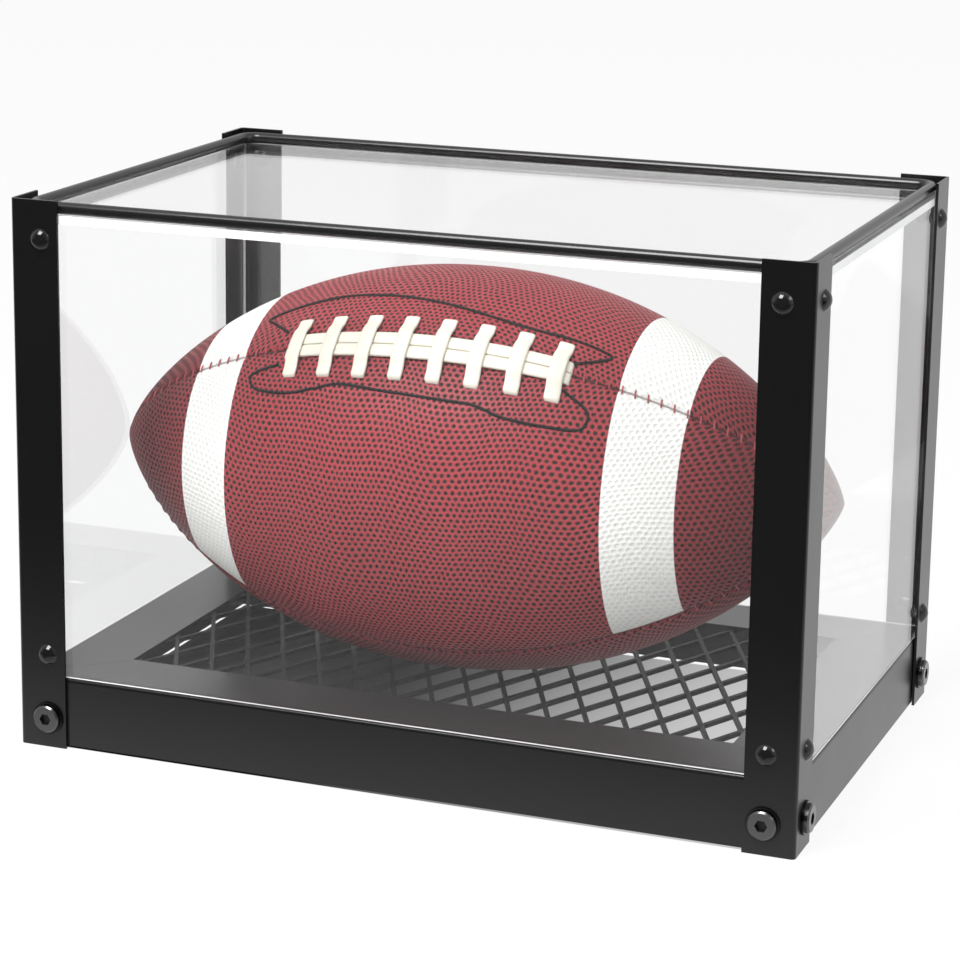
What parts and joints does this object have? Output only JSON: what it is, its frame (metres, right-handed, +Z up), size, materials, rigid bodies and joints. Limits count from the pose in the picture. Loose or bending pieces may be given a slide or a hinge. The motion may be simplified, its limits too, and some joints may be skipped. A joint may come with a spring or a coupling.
{
  "type": "ball display case",
  "caption": "Clear-walled display case with a black folded-steel frame, mesh floor and lift-off lid, holding a laced leather ball.",
  "frame": {"origin": "on the ground under the middle of the case", "axes": "+X along the case's long side to the right, -Y the front, +Z up"},
  "size_m": [0.3054, 0.201, 0.2075],
  "materials": {
    "black_steel": "satin black powder coat",
    "clear_acrylic": "clear, polished",
    "black_plastic": "glossy",
    "dark_steel": "gunmetal",
    "ball_leather": "pebbled",
    "ball_lace": "smooth, off-white",
    "bladder_rubber": "matt"
  },
  "bodies": {
    "case": {"post_front_left": "black_steel", "post_back_left": "black_steel", "post_front_right": "black_steel", "post_back_right": "black_steel", "base_rail_front": "black_steel", "base_rail_right": "black_steel", "base_rail_back": "black_steel", "base_rail_left": "black_steel", "wall_panel_front": "clear_acrylic", "wall_panel_right": "clear_acrylic", "wall_panel_back": "clear_acrylic", "wall_panel_left": "clear_acrylic", "mesh_floor": "black_steel", "rivet_domes": "black_plastic", "rivet_backs": "black_plastic", "connector_bolts": "dark_steel", "bolt_washers": "dark_steel", "bolt_nuts": "dark_steel"},
    "lid": {"lid_panel": "clear_acrylic", "lid_rod_rim": "black_steel"},
    "ball": {"ball_leather_lower_front": "ball_leather", "ball_leather_lower_back": "ball_leather", "ball_leather_upper_back": "ball_leather", "ball_leather_upper_front": "ball_leather", "ball_bladder": "bladder_rubber", "ball_valve": "bladder_rubber", "ball_long_laces": "ball_lace", "ball_cross_laces": "ball_lace"}
  },
  "joints": [
    {"name": "lid_lift", "type": "slide", "parent": "case", "child": "lid", "axis": [0, 0, 1], "range_m": [0, 0.19]},
    {"name": "ball_roll", "type": "hinge", "parent": "case", "child": "ball", "pos_m": [-0.0038, -0.0109, 0.1026], "axis": [0.9998, 0.0201, 0], "range_deg": [-190, 105]}
  ]
}
